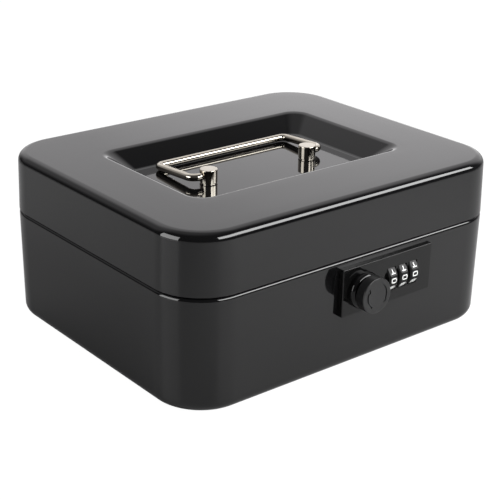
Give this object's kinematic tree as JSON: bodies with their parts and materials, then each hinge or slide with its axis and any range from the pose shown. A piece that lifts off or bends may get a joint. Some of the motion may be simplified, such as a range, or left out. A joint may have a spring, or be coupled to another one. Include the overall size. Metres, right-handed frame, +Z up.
{
  "type": "cash box",
  "caption": "Small steel cash box with hinged dished lid, folding bail handle, turning knob and combination wheels on a front lock, and a lift-out coin tray.",
  "frame": {"origin": "centre of the flat underside", "axes": "+X to the right seen from the front, +Y from the lock towards the hinge, +Z up"},
  "size_m": [0.2, 0.1805, 0.0872],
  "materials": {
    "black_gloss_paint": "high gloss black baked enamel on steel",
    "nickel_plate": "polished nickel plate",
    "zinc_plate": "bright zinc plate",
    "gloss_black_plastic": "gloss black moulding",
    "satin_black_plastic": "satin black moulding",
    "wheel_plastic": "black moulding, white digits",
    "spring_steel": "bright spring strip",
    "brass_lever": "stamped brass",
    "tray_plastic": "fine matt grain black moulding"
  },
  "bodies": {
    "base": {"base_shell": "black_gloss_paint", "tray_ledge_left": "black_gloss_paint", "tray_ledge_right": "black_gloss_paint", "hinge_leaf_base": "black_gloss_paint", "hinge_pin": "zinc_plate", "hinge_rivets_base": "zinc_plate", "lock_faceplate": "gloss_black_plastic", "wheel_axle": "zinc_plate", "knob_collar": "gloss_black_plastic", "lock_case": "zinc_plate", "lock_case_screws": "zinc_plate", "detent_spring": "spring_steel"},
    "lid": {"lid_shell": "black_gloss_paint", "handle_post_left": "nickel_plate", "handle_post_right": "nickel_plate", "handle_washers": "zinc_plate", "handle_nuts": "zinc_plate", "hinge_leaf_lid": "black_gloss_paint", "hinge_rivets_lid": "zinc_plate", "strike_bracket": "zinc_plate"},
    "bail": {"bail_handle": "nickel_plate"},
    "knob": {"knob": "satin_black_plastic", "knob_spindle": "zinc_plate", "latch_cam": "zinc_plate", "cam_washer": "zinc_plate", "cam_nut": "zinc_plate"},
    "wheel_1": {"number_wheel_1": "wheel_plastic", "gate_disc_1": "brass_lever"},
    "wheel_2": {"number_wheel_2": "wheel_plastic", "gate_disc_2": "brass_lever"},
    "wheel_3": {"number_wheel_3": "wheel_plastic", "gate_disc_3": "brass_lever"},
    "fence": {"fence_bar": "zinc_plate"},
    "reset": {"reset_lever": "brass_lever"},
    "tray": {"coin_tray": "tray_plastic"}
  },
  "joints": [
    {"name": "lid_hinge", "type": "hinge", "parent": "base", "child": "lid", "pos_m": [0, 0.0839, 0.0573], "axis": [-1, 0, 0], "range_deg": [0, 105]},
    {"name": "bail_swing", "type": "hinge", "parent": "lid", "child": "bail", "pos_m": [0, -0.0056, 0.0822], "axis": [1, 0, 0], "range_deg": [0, 172]},
    {"name": "knob_turn", "type": "hinge", "parent": "base", "child": "knob", "pos_m": [-0.0008, -0.0815, 0.0411], "axis": [0, -1, 0], "range_deg": [0, 90]},
    {"name": "wheel_1_turn", "type": "hinge", "parent": "base", "child": "wheel_1", "pos_m": [0.0184, -0.0796, 0.0411], "axis": [1, 0, 0], "continuous": true},
    {"name": "wheel_2_turn", "type": "hinge", "parent": "base", "child": "wheel_2", "pos_m": [0.0256, -0.0796, 0.0411], "axis": [1, 0, 0], "continuous": true},
    {"name": "wheel_3_turn", "type": "hinge", "parent": "base", "child": "wheel_3", "pos_m": [0.0328, -0.0796, 0.0411], "axis": [1, 0, 0], "continuous": true},
    {"name": "fence_slide", "type": "slide", "parent": "base", "child": "fence", "axis": [0, 1, 0], "range_m": [0, 0.0015]},
    {"name": "reset_slide", "type": "slide", "parent": "base", "child": "reset", "axis": [1, 0, 0], "range_m": [0, 0.0025]},
    {"name": "tray_lift", "type": "slide", "parent": "base", "child": "tray", "axis": [0, 0, 1], "range_m": [0, 0.0735]}
  ],
  "couplings": [
    {"joint": "fence_slide", "follows": "knob_turn", "m_per_rad": 0.000954},
    {"joint": "tray_lift", "follows": "lid_hinge", "m_per_rad": 0.04}
  ]
}
